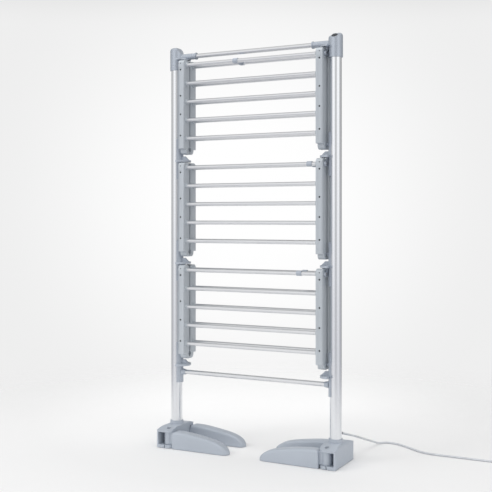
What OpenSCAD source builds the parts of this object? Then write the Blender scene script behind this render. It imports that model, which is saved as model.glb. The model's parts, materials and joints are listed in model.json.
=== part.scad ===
// Heated clothes airer: two round posts, three tiers of wings that swing out, and folding legs.
// All lengths are millimetres. The origin lies on the floor, midway between the posts.
// X runs across the airer, Y from front to back, and Z up. Wings hang down and legs are folded in.

/* [Frame] */
// Distance between the axes of the two posts
post_spacing = 622; // [580:2:720]
// Outer diameter of a post
post_d = 41; // [39:0.5:43]
// Wall of the post tube
post_wall = 1.5; // [1:0.5:3]
// Height of the base brackets' shelves above the floor
base_shelf_z = 288; // [284:1:320]
// Height from the lower end of a rail down to the hinge axis of the next tier
tier_gap = 67; // [65:1:73]
// Diameter of the fixed top bar and bottom bar
bar_d = 16; // [13:0.5:17]
// Wall of the two fixed bars
bar_wall = 1.2; // [0.8:0.1:2]

/* [Wings] */
// Width of a side rail, across the airer
rail_w = 24; // [21:0.5:26]
// Depth of a side rail, from front to back
rail_depth = 40; // [36:1:42]
// Gap between the front and the rear rails when folded
rail_gap = 8; // [6:0.5:10]
// Gap between a rail and the post beside it
rail_post_gap = 10.5; // [10:0.5:14]
// Diameter of a rung
rung_d = 14; // [12:0.5:16]
// Wall of a rung tube
rung_wall = 1; // [0.6:0.1:1.5]
// Distance between the axes of neighbouring rungs
rung_pitch = 66.3; // [60:0.1:66.5]
// Length of the rail below its last rung
rail_tail = 37.8; // [34:0.1:38]

/* [Hubs and legs] */
// Half the length of a hub, from its middle to its front or rear end
hub_half_y = 86; // [84:1:96]
// Height of a hub at its ends
hub_end_h = 63; // [60:1:66]
// Height of a hub beside the collar of its post
hub_mid_h = 74; // [70:1:80]
// Length of a leg, from its pivot to its tip
leg_length = 245; // [200:1:250]
// Width of a leg
leg_w = 44; // [38:1:45]

/* [Cord] */
// Diameter of the mains cord
cord_d = 7; // [6.5:0.1:7]
// Length of the strain relief where the cord leaves the post
relief_length = 30; // [24:1:36]

/* [Hidden] */
$fn = 64;
hull_fn = 32;

// Colours
plastic_grey = [0.66, 0.69, 0.73];
cover_grey = [0.62, 0.65, 0.69];
aluminium = [0.85, 0.86, 0.88];
dark_grey = [0.16, 0.17, 0.18];
pin_steel = [0.55, 0.56, 0.58];
wire_white = [0.9, 0.9, 0.86];
cord_grey = [0.85, 0.86, 0.86];
pin_brass = [0.78, 0.66, 0.36];

// Shared values: the overrun of every cut, the fit of fixed parts, and the running gaps
overrun = 1;
fit_gap = 0.05;
pin_gap = 0.08;
slide_gap = 0.09;
face_gap = 0.5;

// Places shared by the frame and the wings
post_x = post_spacing / 2;
post_r = post_d / 2;
rail_outer_x = post_x - post_r - rail_post_gap;
rail_inner_x = rail_outer_x - rail_w;
wing_y = (rail_gap + rail_depth) / 2;
rail_front_y = -wing_y - rail_depth / 2;
rail_back_y = -wing_y + rail_depth / 2;
tier_count = 3;
rungs_per_wing = 5;
rail_below = (rungs_per_wing - 1) * rung_pitch + rail_tail;
tier_pitch = rail_below + tier_gap;
rail_head_r = 16;
rail_above = 18;
shelf_clear = 1;
shelf_rise = rail_depth / 2 + shelf_clear;
top_pivot_z = base_shelf_z - shelf_rise + tier_count * tier_pitch;

// Rail: rounded corners, wiring duct, cover strip, screw places and the collars of the rungs
rail_corner_r = 5.5;
rail_edge_r = 2;
inner_strip_w = 8.5;
outer_strip_w = 5;
cover_t = 1.5;
cover_sunk = 0.8;
cover_clear = 0.15;
cover_ledge = 0.8;
cover_top_drop = 10;
cover_end_rise = 12;
duct_depth = 24;
duct_end_rise = 14;
screw_drop_shares = [0.27, 1.69, 2.7, 3.85];
screw_hole_d = 6.2;
screw_pilot_d = 3;
screw_pilot_depth = 12;
screw_pillar_d = 9.4;
screw_pillar_l = 15;
head_hole_d = 3.8;
head_hole_depth = 6;
head_hole_drop = 13;
collar_d = 19;
collar_l = 6;
collar_bevel = 1.5;
cover_in_x = rail_inner_x + inner_strip_w;
cover_out_x = rail_outer_x - outer_strip_w;
cover_mid_x = (cover_in_x + cover_out_x) / 2;
duct_in_x = cover_in_x + cover_ledge;
duct_out_x = cover_out_x - cover_ledge;
rung_end_x = duct_in_x;
collar_end_x = rail_inner_x - collar_l;
cover_back_y = rail_front_y + cover_sunk + cover_t;

// End tab of a rail, with the round catch recess
tab_h = 19;
tab_front = 26;
tab_back = 2;
tab_round = 15;
catch_r = 9.5;
catch_drop = 2;

// Heating wire inside a rung
heater_d = 5;
heater_end_l = 8;

// Hinge pins and the ear plates that carry them
pin_d = 7;
pin_depth = 9;
pin_head_d = 11;
pin_head_t = 2;
ear_gap = 0.6;
ear_t = 6.4;
ear_r = 8;
ear_web_half = 12;
ear_in_x = rail_outer_x + ear_gap;
ear_out_x = ear_in_x + ear_t;

// Bracket: saddle on the post, round shelf, rib and catch boss
saddle_bulge = 4;
saddle_r = 21;
saddle_back = 10;
saddle_over = 41;
saddle_down = 62;
saddle_half_y = 26;
saddle_corner_r = 9;
saddle_in_x = post_x - post_r - saddle_bulge;
shelf_r = 38;
shelf_t = 7;
shelf_inset = 16;
shelf_x = post_x - shelf_inset;
rib_t = 7;
rib_clear = 6;
rib_h = tier_gap - tab_h - shelf_rise - rib_clear;
rib_flat = 12;
rib_foot = 27;
boss_d = 13;
boss_reach = 4;
bar_drop = 24;
socket_l = 14;
socket_d = 19;
socket_foot_d = 24;
socket_depth = 11;

// Cap: sleeve over the post, dome, inner facet, arm and its own shelf
cap_wall = 4;
cap_rise = 68;
cap_skirt = 14;
cap_r = post_r + cap_wall;
cap_top_z = top_pivot_z + cap_rise;
post_top_rise = 46;
dome_r = 11;
dome_turn = 15;
facet_top = 8;
facet_drop = 24;
arm_d = 22;
arm_rise = 34;
arm_over = 29.5;
arm_lip = 3;
arm_lip_l = 5;
arm_bore_depth = 26;
cap_shelf_t = 6;
arm_z = top_pivot_z + arm_rise;
arm_end_x = rail_inner_x - arm_over;

// Push button on the right cap, tilted to the front
button_d = 20;
button_h = 8;
button_proud = 1.6;
button_gap = 0.4;
button_room = 2;
button_tilt = 35;
button_y = -10;
button_drop = 8.5;
button_facet = 30;

// Hub: base, forks for the two legs and the socket of the post
hub_in = 29;
hub_out = 32;
hub_wall = 6;
hub_flat_half = 45;
hub_crown_r = 10;
hub_clear = 1.5;
fork_r = 23;
fork_floor = 12;
fork_roof = 57;
fork_back = 17.5;
hub_corner_r = 3;
hub_floor = 8;
hub_ring_h = 12;
hub_ring_t = 3.2;
hub_ring_foot_t = 5;
notch_w = 4;
notch_depth = 5;
leg_pin_d = 10;
leg_pin_head_d = 14.4;
leg_pin_head_t = 3;
leg_pin_seat = 4;
leg_pin_sink = 4;
pad_d = 18;
pad_t = 2.5;
pad_inset = 14;
leg_pivot_x = post_x - hub_in + fork_r;
leg_pivot_y = hub_half_y - fork_r;

// Leg: rounded body, tongue and barrel
leg_root = fork_r + face_gap;
leg_root_h = 61;
leg_top_r = 9;
leg_edge = 2;
leg_flat = 40;
leg_floor = 1;
leg_mid_back = 88;
leg_mid_h = 49.5;
leg_nose_r = 20;
leg_nose_h = 9;
leg_nose_top_r = 14;
leg_nose_top_z = 36.5;
leg_nose_back = 33;
barrel_r = 16;
tongue_w = 22;

// Tie clip: a sleeve on each first rung and the bridge between the sleeves
clip_l = 18;
clip_wall = 2.4;
clip_mouth = 9;
clip_bridge_t = 5;
clip_shares = [-0.177, 0.73, 0.608];

// Strain relief: it starts inside the wall of the post and points along the cord
relief_rise = 30.5;
relief_seat = 1.5;
relief_turn = 10;
relief_dip = 19.5;
relief_gap = 0.3;
relief_foot_d = 15;
relief_foot_t = 4;
relief_d = 12;
relief_tip_d = 9.5;
relief_hole_d = 12;
relief_base = [post_x, post_r - relief_seat, hub_mid_h + relief_rise];
relief_way = [
    sin(relief_turn) * cos(relief_dip), cos(relief_turn) * cos(relief_dip), -sin(relief_dip)
];

// Cord. The points of its route were chosen by hand along the cord of the real airer, and are
// counted from the axis of the right post and the floor. It leaves the relief in a short straight.
cord_straight = 14;
cord_sides = 8;
coil_sides = 6;
cord_steps = 2;
cord_points = [
    [17, 100, 77.5], [23, 145, 63], [28, 190, 47.5], [33, 235, 32], [38, 280, 17],
    [42, 304, 8.5], [48, 324, 4.3], [58, 337, 3.7], [74, 343, 3.7], [92, 342, 3.7],
    [111, 336, 3.7], [132, 325, 3.7], [153, 311, 3.7], [174, 296, 3.7], [197, 280, 3.7],
    [220, 267, 3.7], [249, 259, 3.7], [289, 256, 3.7], [339, 256, 3.7], [399, 256, 3.7],
    [459, 256, 3.7], [499, 256, 3.7], [511, 256, 3.7]
];
cord_route = concat(
    [for (reach = [relief_gap, cord_straight])
        relief_base + (relief_length + reach) * relief_way],
    [for (point = cord_points) point + [post_x, 0, 0]]);
coil_rings = 24;
coil_in_r = 30;
coil_step = 8.6;
coil_rise = 8;
coil_in_turns = 1.75;
coil_out_turns = 2.0;
coil_lead = 8;
coil_out_lead = 40;
coil_start = cord_route[len(cord_route) - 1];
coil_out_r = coil_in_r + coil_in_turns * coil_step;
coil_centre = [coil_start[0] + coil_lead, coil_start[1] + coil_out_r, coil_start[2]];

// Plug, lying on its back with its pins up
plug_w = 50;
plug_l = 46;
plug_h = 20;
plug_r = 9;
plug_tail_l = 14;
plug_tail_d = 12;
plug_lift = 0.2;
line_pin = [4, 6.3, 17.7];
earth_pin = [4, 8, 22.7];
pin_half_gap = 11.1;
line_pin_y = 16;
earth_pin_y = 38.2;

function pivot_z(tier) = top_pivot_z - tier * tier_pitch;
function shelf_z(tier) = pivot_z(tier) + shelf_rise;
function boss_z(tier) = pivot_z(tier - 1) - rail_below - catch_drop;

// Draws its child for the right side, or mirrored for the left
module on_side(side) {
    if (side > 0) children();
    else mirror([1, 0, 0]) children();
}

// Draws its child for the front, or mirrored for the rear
module on_face(face) {
    if (face < 0) children();
    else mirror([0, 1, 0]) children();
}

// Extrudes an outline drawn in Y and Z from one X to another
module along_x(from_x, to_x) {
    translate([from_x, 0, 0]) rotate([90, 0, 90]) linear_extrude(to_x - from_x) children();
}

// Extrudes an outline drawn in X and Z from one Y to another
module along_y(from_y, to_y) {
    translate([0, to_y, 0]) rotate([90, 0, 0]) linear_extrude(to_y - from_y) children();
}

// A cylinder along X
module rod_x(from_x, to_x, d, d_end = 0) {
    translate([from_x, 0, 0]) rotate([0, 90, 0])
        cylinder(h = to_x - from_x, d1 = d, d2 = d_end > 0 ? d_end : d);
}

// A tube along X, with its middle at the origin
module tube_x(end_x, d, wall) {
    difference() {
        rod_x(-end_x, end_x, d);
        rod_x(-end_x - overrun, end_x + overrun, d - 2 * wall);
    }
}

// A cylinder along Y
module rod_y(from_y, to_y, d) {
    translate([0, to_y, 0]) rotate([90, 0, 0]) cylinder(h = to_y - from_y, d = d);
}

// A block from one corner to the opposite one
module block(low, high) {
    translate(low) cube(high - low);
}

// A rectangle from one corner to the other, with one radius for each corner, counted anticlockwise
module rounded(low, high, radii) {
    x0 = low[0];
    y0 = low[1];
    x1 = high[0];
    y1 = high[1];
    polygon([
        [x0 + radii[0], y0], [x1 - radii[1], y0], [x1, y0 + radii[1]], [x1, y1 - radii[2]],
        [x1 - radii[2], y1], [x0 + radii[3], y1], [x0, y1 - radii[3]], [x0, y0 + radii[0]]
    ]);
    translate([x0 + radii[0], y0 + radii[0]]) circle(radii[0]);
    translate([x1 - radii[1], y0 + radii[1]]) circle(radii[1]);
    translate([x1 - radii[2], y1 - radii[2]]) circle(radii[2]);
    translate([x0 + radii[3], y1 - radii[3]]) circle(radii[3]);
}

// Post tube, from the floor of its hub into its cap
module post(side) {
    color(aluminium) on_side(side) difference() {
        translate([post_x, 0, hub_floor])
            cylinder(h = top_pivot_z + post_top_rise - hub_floor, d = post_d);
        translate([post_x, 0, hub_floor - overrun])
            cylinder(h = top_pivot_z + post_top_rise, d = post_d - 2 * post_wall);
        if (side > 0) translate([relief_base[0], 0, relief_base[2]])
            rod_y(0, post_r + overrun, relief_hole_d);
    }
}

// The fixed bar that joins the two caps
module top_bar() {
    bar_end_x = arm_end_x + arm_bore_depth;
    color(aluminium) translate([0, 0, arm_z]) tube_x(bar_end_x, bar_d, bar_wall);
}

// The fixed bar that joins the two base brackets
module bottom_bar() {
    bar_end_x = saddle_in_x - socket_l + socket_depth;
    color(aluminium) translate([0, 0, shelf_z(tier_count) - bar_drop])
        tube_x(bar_end_x, bar_d, bar_wall);
}

// Ear plate with the bores of the two hinge pins of one tier, hanging from the shelf above it
module ear_plate(tier) {
    translate([0, 0, pivot_z(tier)]) along_x(ear_in_x, ear_out_x) {
        translate([-wing_y, -ear_r]) square([2 * wing_y, 2 * ear_r]);
        translate([-wing_y, 0]) circle(ear_r);
        translate([wing_y, 0]) circle(ear_r);
        translate([-ear_web_half, 0]) square([2 * ear_web_half, shelf_rise + shelf_clear]);
    }
}

module pin_bores(tier) {
    for (face = [-1, 1]) translate([0, face * wing_y, pivot_z(tier)])
        rod_x(ear_in_x - overrun, ear_out_x + overrun, pin_d + 2 * fit_gap);
}

// Half round shelf that stands out from the post towards the middle of the airer
module shelf(tier, thick) {
    translate([0, 0, shelf_z(tier)]) linear_extrude(thick) intersection() {
        translate([shelf_x, 0]) circle(shelf_r);
        translate([shelf_x - shelf_r, -shelf_r]) square([shelf_r, 2 * shelf_r]);
    }
}

// Room for the post in a piece that is fastened to it
module post_room(low_z, high_z) {
    translate([post_x, 0, low_z]) cylinder(h = high_z - low_z, r = post_r + fit_gap);
}

// Outline of the rib above a shelf, in X and Z from the shelf's underside
module rib_outline() {
    polygon([
        [post_x, 0], [post_x, rib_h], [saddle_in_x - rib_flat, rib_h],
        [saddle_in_x - rib_foot, shelf_t], [saddle_in_x - rib_foot, 0]
    ]);
}

// Saddle plate on the inner side of the post
module saddle(tier) {
    low = shelf_z(tier) - saddle_down;
    high = boss_z(tier) + saddle_over;
    corners = [saddle_corner_r, saddle_corner_r, saddle_corner_r, saddle_corner_r];
    intersection() {
        translate([0, 0, low]) linear_extrude(high - low) intersection() {
            translate([saddle_in_x + saddle_r, 0]) circle(saddle_r);
            translate([saddle_in_x, -saddle_r])
                square([post_x - saddle_back - saddle_in_x, 2 * saddle_r]);
        }
        along_x(saddle_in_x - overrun, post_x)
            rounded([-saddle_half_y, low], [saddle_half_y, high], corners);
    }
}

// Bracket between two tiers, or the base bracket, which holds the bottom bar
module bracket(tier, side) {
    low = shelf_z(tier) - saddle_down - overrun;
    high = boss_z(tier) + saddle_over + overrun;
    is_base = tier == tier_count;
    bar_z = shelf_z(tier) - bar_drop;
    socket_x = saddle_in_x - socket_l;
    color(plastic_grey) on_side(side) difference() {
        union() {
            saddle(tier);
            shelf(tier, shelf_t);
            translate([0, 0, shelf_z(tier)]) along_y(-rib_t / 2, rib_t / 2) rib_outline();
            translate([0, 0, boss_z(tier)]) rod_x(rail_outer_x - boss_reach, post_x, boss_d);
            if (is_base) translate([0, 0, bar_z]) {
                rod_x(socket_x, saddle_in_x + overrun, socket_d, socket_foot_d);
            }
            else ear_plate(tier);
        }
        post_room(low, high);
        if (is_base) translate([0, 0, bar_z])
            rod_x(socket_x - overrun, socket_x + socket_depth, bar_d + 2 * fit_gap);
        else pin_bores(tier);
    }
}

// Dome of a cap, with its skirt down to the lower edge
module cap_body() {
    low_z = top_pivot_z - cap_skirt;
    dome = [for (a = [0:dome_turn:90])
        [cap_r - dome_r + dome_r * cos(a), cap_top_z - dome_r + dome_r * sin(a)]];
    outline = concat([[0, low_z], [cap_r, low_z]], dome, [[0, cap_top_z]]);
    translate([post_x, 0, 0]) rotate_extrude() polygon(outline);
}

// Frame of the push button: origin on its seat, Z along its travel
module button_frame() {
    translate([post_x, button_y, cap_top_z - button_drop]) rotate([button_tilt, 0, 0]) children();
}

// Cap of a post, with the arm that holds the top bar and the hinge of the top tier
module cap(side) {
    low_z = top_pivot_z - cap_skirt;
    facet_x = post_x - facet_top;
    color(plastic_grey) on_side(side) difference() {
        union() {
            difference() {
                cap_body();
                along_y(-cap_r - overrun, cap_r + overrun) polygon([
                    [facet_x, cap_top_z], [facet_x, cap_top_z + overrun],
                    [post_x - cap_r - overrun, cap_top_z + overrun],
                    [post_x - cap_r - overrun, cap_top_z - facet_drop],
                    [post_x - cap_r, cap_top_z - facet_drop]
                ]);
            }
            translate([0, 0, arm_z]) rod_x(arm_end_x, post_x, arm_d);
            translate([0, 0, arm_z]) rod_x(arm_end_x, arm_end_x + arm_lip_l, arm_d + arm_lip);
            shelf(0, cap_shelf_t);
            ear_plate(0);
        }
        post_room(low_z - overrun, top_pivot_z + post_top_rise + fit_gap);
        pin_bores(0);
        translate([0, 0, arm_z])
            rod_x(arm_end_x - overrun, arm_end_x + arm_bore_depth + fit_gap, bar_d + 2 * fit_gap);
        if (side > 0) button_frame() {
            translate([-button_facet, -button_facet, 0])
                cube([2 * button_facet, 2 * button_facet, button_facet]);
            translate([0, 0, button_proud - button_h - button_room])
                cylinder(h = button_h + button_room, d = button_d + 2 * button_gap);
        }
    }
}

// Push button in the right cap
module power_button() {
    color(dark_grey) button_frame() translate([0, 0, button_proud - button_h])
        cylinder(h = button_h, d = button_d);
}

// The twelve hinge pins, each with a flat head on the post's side
module hinge_pins() {
    color(pin_steel) for (tier = [0:tier_count - 1], side = [-1, 1], face = [-1, 1])
        on_side(side) translate([0, face * wing_y, pivot_z(tier)]) {
            rod_x(rail_outer_x - pin_depth, ear_out_x, pin_d);
            rod_x(ear_out_x, ear_out_x + pin_head_t, pin_head_d);
        }
}

// Side view of a rail, drawn in Y and Z from the hinge axis of its tier
module rail_outline() {
    tab_low = -rail_below - tab_h;
    difference() {
        union() {
            rounded([rail_front_y, -rail_below], [rail_back_y, rail_above],
                [rail_edge_r, rail_edge_r, rail_head_r, rail_head_r]);
            rounded([-tab_front, tab_low], [-tab_back, -rail_below + tab_h],
                [tab_round, rail_edge_r, rail_edge_r, rail_edge_r]);
        }
        translate([-tab_back, -rail_below + catch_r])
            square([tab_back, tab_h]);
        translate([rail_back_y, -rail_below + catch_r])
            square([-rail_back_y, tab_h]);
        translate([0, -rail_below - catch_drop]) circle(catch_r);
    }
}

// Right rail of a front wing, with Z from the hinge axis of its tier
module rail_form() {
    tall = rail_below + tab_h + rail_above + 2 * overrun;
    low = -rail_below - tab_h - overrun;
    duct_low = -rail_below + duct_end_rise;
    difference() {
        union() {
            intersection() {
                along_x(rail_inner_x, rail_outer_x) rail_outline();
                translate([0, 0, low]) linear_extrude(tall)
                    rounded([rail_inner_x, rail_front_y], [rail_outer_x, -tab_back],
                        [rail_edge_r, rail_corner_r, rail_edge_r, rail_edge_r]);
            }
            for (i = [0:rungs_per_wing - 1]) translate([0, -wing_y, -i * rung_pitch]) {
                rod_x(collar_end_x + collar_bevel, rail_inner_x + overrun, collar_d);
                rod_x(collar_end_x, collar_end_x + collar_bevel, collar_d - 2 * collar_bevel,
                    collar_d);
            }
        }
        block([cover_in_x, rail_front_y - overrun, -rail_below + cover_end_rise],
            [cover_out_x, cover_back_y, -cover_top_drop]);
        difference() {
            block([duct_in_x, rail_front_y, duct_low],
                [duct_out_x, rail_front_y + duct_depth, -cover_top_drop - cover_ledge]);
            for (share = screw_drop_shares) translate([cover_mid_x, 0, -share * rung_pitch])
                rod_y(rail_front_y - overrun, cover_back_y + screw_pillar_l, screw_pillar_d);
        }
        for (share = screw_drop_shares) translate([cover_mid_x, 0, -share * rung_pitch])
            rod_y(rail_front_y, cover_back_y + screw_pilot_depth, screw_pilot_d);
        translate([cover_mid_x, 0, rail_above - head_hole_drop])
            rod_y(rail_front_y - overrun, rail_front_y + head_hole_depth, head_hole_d);
        for (i = [0:rungs_per_wing - 1]) translate([0, -wing_y, -i * rung_pitch])
            rod_x(collar_end_x - overrun, rung_end_x + fit_gap, rung_d + 2 * fit_gap);
        translate([0, -wing_y, 0])
            rod_x(rail_outer_x - pin_depth - pin_gap, rail_outer_x + overrun, pin_d + 2 * pin_gap);
    }
}

module rail(tier, face, side) {
    color(plastic_grey) on_side(side) on_face(face) translate([0, 0, pivot_z(tier)]) rail_form();
}

// The two cover strips of a wing, each with its screw holes
module covers(tier, face) {
    color(cover_grey) for (side = [-1, 1])
        on_side(side) on_face(face) translate([0, 0, pivot_z(tier)]) difference() {
            block([cover_in_x + cover_clear, rail_front_y + cover_sunk,
                    -rail_below + cover_end_rise + cover_clear],
                [cover_out_x - cover_clear, cover_back_y, -cover_top_drop - cover_clear]);
            for (share = screw_drop_shares) translate([cover_mid_x, 0, -share * rung_pitch])
                rod_y(rail_front_y - overrun, cover_back_y + overrun, screw_hole_d);
        }
}

// The five rung tubes of a wing
module rungs(tier, face) {
    color(aluminium) for (i = [0:rungs_per_wing - 1])
        translate([0, face * wing_y, pivot_z(tier) - i * rung_pitch])
            tube_x(rung_end_x, rung_d, rung_wall);
}

// The heating wires of a wing, each centred in its rung by a plug at both ends
module heaters(tier, face) {
    heater_end_d = rung_d - 2 * rung_wall - 2 * fit_gap;
    color(wire_white) for (i = [0:rungs_per_wing - 1])
        translate([0, face * wing_y, pivot_z(tier) - i * rung_pitch]) {
            rod_x(-rung_end_x, rung_end_x, heater_d);
            for (side = [-1, 1]) on_side(side)
                rod_x(rung_end_x - heater_end_l, rung_end_x, heater_end_d);
        }
}

// Clip that ties the first rungs of the front and rear wings of a tier, and slides along them
module tie_clip(tier) {
    middle_x = clip_shares[tier] * post_x;
    sleeve_r = rung_d / 2 + slide_gap + clip_wall;
    color(plastic_grey) translate([middle_x - clip_l / 2, 0, pivot_z(tier)]) difference() {
        along_x(0, clip_l) {
            for (face = [-1, 1]) translate([face * wing_y, 0]) circle(sleeve_r);
            translate([-wing_y, -clip_bridge_t / 2]) square([2 * wing_y, clip_bridge_t]);
        }
        for (face = [-1, 1]) translate([0, face * wing_y, 0]) {
            rod_x(-overrun, clip_l + overrun, rung_d + 2 * slide_gap);
            translate([-overrun, -clip_mouth / 2, -sleeve_r - overrun])
                cube([clip_l + 2 * overrun, clip_mouth, sleeve_r + overrun]);
        }
    }
}

// Side view of a hub, drawn in Y and Z
module hub_outline() {
    polygon([
        [-hub_half_y, hub_clear], [hub_half_y, hub_clear], [hub_half_y, hub_end_h],
        [hub_flat_half, hub_mid_h], [-hub_flat_half, hub_mid_h], [-hub_half_y, hub_end_h]
    ]);
}

// Hub at the foot of a post, with a fork for a leg at its front and its rear
module hub(side) {
    in_x = post_x - hub_in;
    out_x = post_x + hub_out;
    seat_z = fork_roof + leg_pin_seat;
    color(plastic_grey) on_side(side) difference() {
        union() {
            intersection() {
                along_x(in_x, out_x) hub_outline();
                linear_extrude(hub_mid_h + overrun) rounded([in_x, -hub_half_y],
                    [out_x, hub_half_y], [fork_r, hub_corner_r, hub_corner_r, fork_r]);
                along_y(-hub_half_y, hub_half_y) rounded([in_x, -hub_corner_r],
                    [out_x, hub_mid_h], [hub_corner_r, hub_corner_r, hub_crown_r, hub_corner_r]);
            }
            translate([post_x, 0, hub_mid_h - hub_ring_h]) cylinder(h = 2 * hub_ring_h,
                r1 = post_r + hub_ring_foot_t, r2 = post_r + hub_ring_t);
        }
        post_room(hub_floor, hub_mid_h + hub_ring_h + overrun);
        for (face = [-1, 1]) on_face(face) {
            block([in_x - overrun, -hub_half_y - overrun, fork_floor],
                [out_x - hub_wall, -leg_pivot_y + fork_back, fork_roof]);
            translate([leg_pivot_x, -leg_pivot_y, leg_pin_sink])
                cylinder(h = hub_mid_h, d = leg_pin_d + 2 * fit_gap);
            translate([leg_pivot_x, -leg_pivot_y, seat_z])
                cylinder(h = hub_mid_h, d = leg_pin_head_d + 2 * face_gap);
            translate([post_x - notch_w / 2, -hub_half_y - overrun, -overrun])
                cube([notch_w, notch_depth + overrun, fork_floor + 2 * overrun]);
            translate([post_x + pad_inset / 2, -hub_half_y + pad_inset, -overrun])
                cylinder(h = pad_t + overrun, d = pad_d + 2 * fit_gap);
        }
    }
}

// The four pins on which the legs turn
module leg_pins() {
    seat_z = fork_roof + leg_pin_seat;
    color(pin_steel) for (side = [-1, 1], face = [-1, 1]) on_side(side) on_face(face)
        translate([leg_pivot_x, -leg_pivot_y, 0]) {
            translate([0, 0, leg_pin_sink]) cylinder(h = seat_z - leg_pin_sink, d = leg_pin_d);
            translate([0, 0, seat_z]) cylinder(h = leg_pin_head_t, d = leg_pin_head_d);
        }
}

// The four non-slip pads under the hubs
module hub_pads() {
    color(dark_grey) for (side = [-1, 1], face = [-1, 1]) on_side(side) on_face(face)
        translate([post_x + pad_inset / 2, -hub_half_y + pad_inset, 0])
            cylinder(h = pad_t, d = pad_d);
}

// Front right leg, folded in, with its pivot at the origin
module leg_form() {
    fork_h = fork_roof - fork_floor - 2 * face_gap;
    difference() {
        union() {
            hull() {
                translate([-leg_root - leg_edge, -leg_w / 2, leg_floor])
                    cube([leg_edge, leg_w, leg_edge]);
                for (way = [-1, 1]) translate([0, way * (leg_w / 2 - leg_top_r), -leg_top_r]) {
                    translate([0, 0, leg_root_h])
                        rod_x(-leg_root - leg_flat, -leg_root, 2 * leg_top_r, $fn = hull_fn);
                    translate([-leg_length + leg_mid_back, 0, leg_mid_h])
                        rod_x(-leg_edge, 0, 2 * leg_top_r, $fn = hull_fn);
                }
                translate([-leg_length + leg_nose_r, 0, leg_floor])
                    cylinder(h = leg_nose_h, r = leg_nose_r, $fn = hull_fn);
                translate([-leg_length + leg_nose_back, 0, leg_nose_top_z - leg_nose_top_r])
                    sphere(leg_nose_top_r, $fn = hull_fn);
            }
            translate([0, 0, fork_floor + face_gap]) cylinder(h = fork_h, r = barrel_r);
            translate([-leg_root - leg_edge, -tongue_w / 2, fork_floor + face_gap])
                cube([leg_root + leg_edge, tongue_w, fork_h]);
        }
        translate([0, 0, fork_floor]) cylinder(h = fork_roof, d = leg_pin_d + 2 * pin_gap);
    }
}

module leg(side, face) {
    color(plastic_grey) on_side(side) on_face(face) translate([leg_pivot_x, -leg_pivot_y, 0])
        leg_form();
}

// Strain relief in the back of the right post, pointing along the cord
module strain_relief() {
    color(dark_grey) difference() {
        translate(relief_base) rotate([-relief_dip, 0, -relief_turn]) rotate([-90, 0, 0]) {
            cylinder(h = relief_foot_t, d1 = relief_foot_d, d2 = relief_d);
            cylinder(h = relief_length, d1 = relief_d, d2 = relief_tip_d);
        }
        post_room(0, top_pivot_z);
    }
}

// Point on a smooth curve through the route, between its points i and i + 1
function curve_point(p, i, t) =
    let (a = p[max(i - 1, 0)], b = p[i], c = p[i + 1], d = p[min(i + 2, len(p) - 1)])
    b + (c - a) * t / 2 + (2 * a - 5 * b + 4 * c - d) * t * t / 2
        + (3 * b - a - 3 * c + d) * t * t * t / 2;

// Unit vector along a path at its point i
function path_way(p, i) =
    let (way = p[min(i + 1, len(p) - 1)] - p[max(i - 1, 0)]) way / norm(way);

// One ring of points round the path at its point i
function ring(p, i, r, sides) =
    let (way = path_way(p, i), out = cross(way, [0, 0, 1]), level = out / norm(out),
        up = cross(level, way))
    [for (k = [0:sides - 1]) let (a = 360 * (k + 0.5) / sides)
        p[i] + r * (cos(a) * level + sin(a) * up)];

function sum_of(v, i = 0) = i < len(v) ? v[i] + sum_of(v, i + 1) : 0;

// A tube of flat faces along a path
module tube(path, d, sides) {
    count = len(path);
    points = [for (i = [0:count - 1]) each ring(path, i, d / 2, sides)];
    walls = [for (i = [0:count - 2], k = [0:sides - 1])
        let (a = i * sides + k, b = i * sides + (k + 1) % sides)
        each [[a, b + sides, b], [a, a + sides, b + sides]]];
    first_cap = [for (k = [1:sides - 2]) [0, k, k + 1]];
    last = (count - 1) * sides;
    last_cap = [for (k = [1:sides - 2]) [last, last + k + 1, last + k]];
    polyhedron(points = points, faces = concat(walls, first_cap, last_cap), convexity = 10);
}

run_path = concat(
    [for (i = [0:len(cord_route) - 2], s = [0:cord_steps - 1])
        curve_point(cord_route, i, s / cord_steps)],
    [coil_start]);

// Turns counted from the start of the coil: in on the floor, up while turning, and out on top
coil_turns = coil_in_turns + 0.5 + coil_out_turns;
function coil_r(t) =
    t < coil_in_turns ? coil_out_r - t * coil_step
    : t < coil_in_turns + 0.5 ? coil_in_r
    : coil_in_r + (t - coil_in_turns - 0.5) * coil_step;
function coil_lift(t) = coil_rise * min(max(2 * (t - coil_in_turns), 0), 1);
function coil_point(t) =
    let (a = 360 * t - 90, r = coil_r(t))
    coil_centre + [r * cos(a), r * sin(a), coil_lift(t)];
coil_turn_path = [for (i = [0:round(coil_turns * coil_rings)]) coil_point(i / coil_rings)];
coil_last = coil_turn_path[len(coil_turn_path) - 1];
coil_end_way = [cos(360 * coil_turns), sin(360 * coil_turns), 0];
coil_path = concat([coil_start], coil_turn_path, [coil_last + coil_out_lead * coil_end_way]);

// Least gap of the coil to itself, measured between points that lie over half a turn apart
function coil_gap() = min([for (i = [0:len(coil_turn_path) - 1], j = [0:len(coil_turn_path) - 1])
    if (j - i > coil_rings / 2) norm(coil_turn_path[i] - coil_turn_path[j])]) - cord_d;

module cord_run() {
    color(cord_grey) tube(run_path, cord_d, cord_sides);
}

module cord_coil() {
    color(cord_grey) tube(coil_path, cord_d, coil_sides);
}

// Frame of the plug: origin where the cord meets it, Y along the cord, Z up from the floor
module plug_frame() {
    end = coil_path[len(coil_path) - 1];
    translate([end[0], end[1], 0]) rotate([0, 0, 360 * coil_turns - 90]) children();
}

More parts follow.
